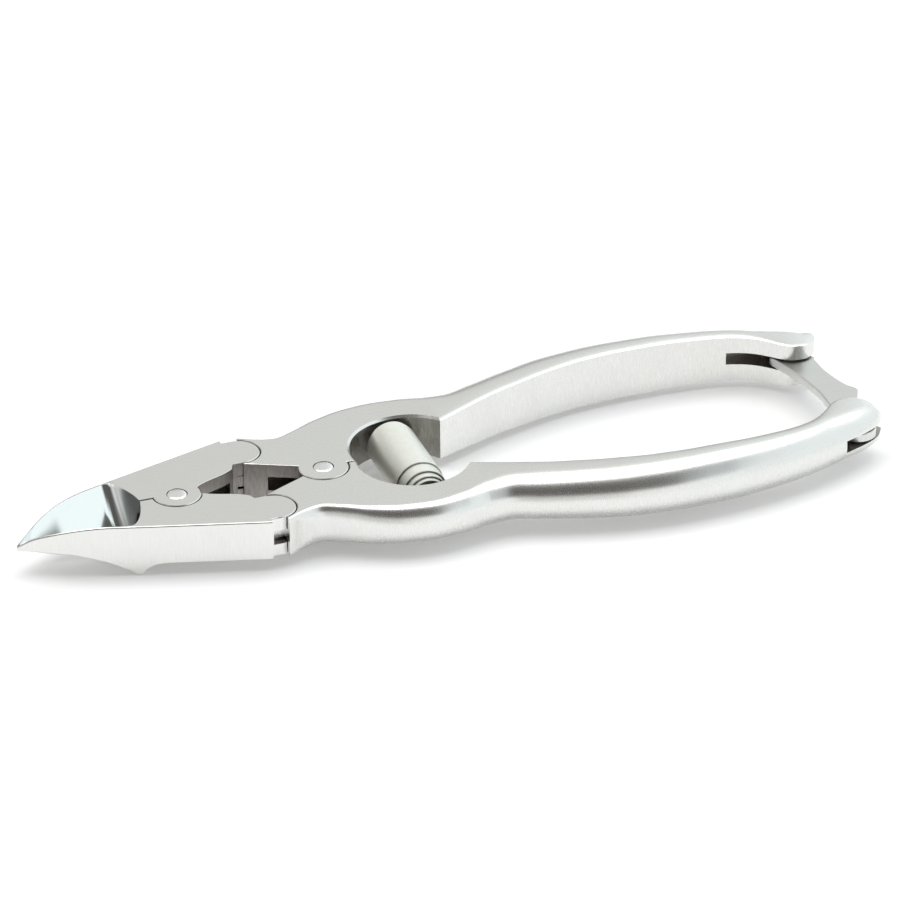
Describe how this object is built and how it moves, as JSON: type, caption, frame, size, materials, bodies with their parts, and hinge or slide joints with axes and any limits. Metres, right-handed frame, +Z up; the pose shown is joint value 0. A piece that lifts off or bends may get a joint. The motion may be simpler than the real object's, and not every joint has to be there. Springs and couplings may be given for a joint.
{
  "type": "nail nipper",
  "caption": "Double-action nail nipper: hollow-ground jaws on compound linkage, D-section handles, barrel spring and rear latch.",
  "frame": {"origin": "under the middle of the closed tool's box, on the plane of its lowest points, the two jaw heels", "axes": "+X from the cutting tip to the handle ends, +Y from the near handle to the far handle, +Z up through the rivets"},
  "size_m": [0.1396, 0.0458, 0.0098],
  "materials": {
    "ground_steel": "fine ground stainless steel, mirror polished inside the cutting hollow",
    "satin_steel": "satin brushed stainless steel",
    "polished_steel": "polished stainless steel",
    "spring_steel": "rolled stainless spring strip, matt"
  },
  "bodies": {
    "handle_near": {"handle_near": "satin_steel", "rear_rivet": "polished_steel", "link_pin_near": "polished_steel", "spring_stud_near": "polished_steel", "latch_pin": "polished_steel", "barrel_spring": "spring_steel"},
    "handle_far": {"handle_far": "satin_steel", "link_pin_far": "polished_steel", "spring_stud_far": "polished_steel", "catch_pin": "polished_steel"},
    "jaw_near": {"jaw_near": "ground_steel", "front_rivet": "polished_steel"},
    "jaw_far": {"jaw_far": "ground_steel"},
    "latch": {"lock_latch": "satin_steel"}
  },
  "joints": [
    {"name": "handle_opening", "type": "hinge", "parent": "handle_near", "child": "handle_far", "pos_m": [-0.0198, 0, 0.0053], "axis": [0, 0, 1], "range_deg": [0, 20], "deforming": ["barrel_spring"]},
    {"name": "jaw_near_turn", "type": "hinge", "parent": "handle_near", "child": "jaw_near", "pos_m": [-0.03098, -0.009, 0.0053], "axis": [0, 0, 1], "range_deg": [0, 18.85]},
    {"name": "jaw_far_turn", "type": "hinge", "parent": "jaw_near", "child": "jaw_far", "pos_m": [-0.0438, 0, 0.0053], "axis": [0, 0, 1], "range_deg": [-17.7, 0]},
    {"name": "latch_swing", "type": "hinge", "parent": "handle_near", "child": "latch", "pos_m": [0.0652, -0.0133, 0.0053], "axis": [0, 0, 1], "range_deg": [-70, 0]}
  ],
  "couplings": [
    {"joint": "jaw_near_turn", "follows": "handle_opening", "ratio": 0.942},
    {"joint": "jaw_far_turn", "follows": "handle_opening", "ratio": -0.884},
    {"joint": "latch_swing", "follows": "handle_opening", "ratio": -3.5}
  ]
}
